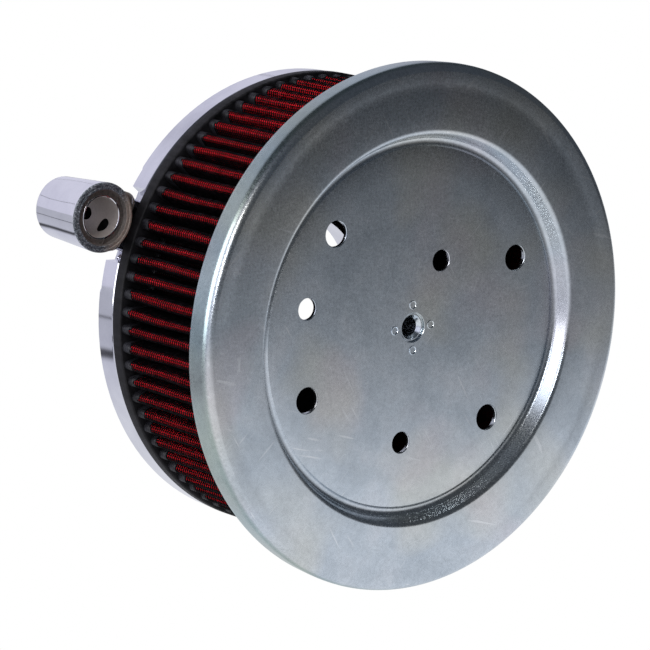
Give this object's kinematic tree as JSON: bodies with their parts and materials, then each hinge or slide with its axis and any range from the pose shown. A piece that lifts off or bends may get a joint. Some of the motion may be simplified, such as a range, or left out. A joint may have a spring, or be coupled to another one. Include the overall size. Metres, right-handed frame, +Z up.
{
  "type": "motorcycle air filter",
  "caption": "Round open-element intake air filter with a steel end cap, pleated cotton element, chrome backing plate and sliding breather fittings.",
  "frame": {"origin": "centre of the intake opening, in the plane of the face that bolts to the throttle body", "axes": "-Y is the filter's outward side, along the intake axis; +Z is up as fitted on the engine; +X is to the right when facing the end cap"},
  "size_m": [0.2106, 0.0899, 0.19],
  "materials": {
    "zinc_steel": "zinc plated, satin",
    "chrome": "polished chrome",
    "cotton_media": "oiled cotton gauze",
    "wire_mesh": "black coated woven wire",
    "black_urethane": "moulded satin",
    "nitrile": "smooth"
  },
  "bodies": {
    "plate": {"backing_plate": "chrome", "intake_o_ring": "nitrile"},
    "filter": {"end_cap": "zinc_steel", "weld_nut": "zinc_steel", "front_potting": "black_urethane", "rear_seal_ring": "black_urethane", "pleat_media": "cotton_media", "outer_mesh": "wire_mesh", "inner_mesh": "wire_mesh"},
    "breather_left": {"breather_left_body": "chrome", "breather_left_spigot": "chrome", "breather_left_spigot_seal": "nitrile", "breather_left_head_seal": "nitrile"},
    "breather_right": {"breather_right_body": "chrome", "breather_right_spigot": "chrome", "breather_right_spigot_seal": "nitrile", "breather_right_head_seal": "nitrile"}
  },
  "joints": [
    {"name": "filter_removal", "type": "slide", "parent": "plate", "child": "filter", "axis": [0, -1, 0], "range_m": [0, 0.08]},
    {"name": "breather_slide_left", "type": "slide", "parent": "plate", "child": "breather_left", "axis": [-0.9107, 0, 0.4131], "range_m": [-0.001, 0.001]},
    {"name": "breather_slide_right", "type": "slide", "parent": "plate", "child": "breather_right", "axis": [0.9107, 0, 0.4131], "range_m": [-0.001, 0.001]}
  ]
}
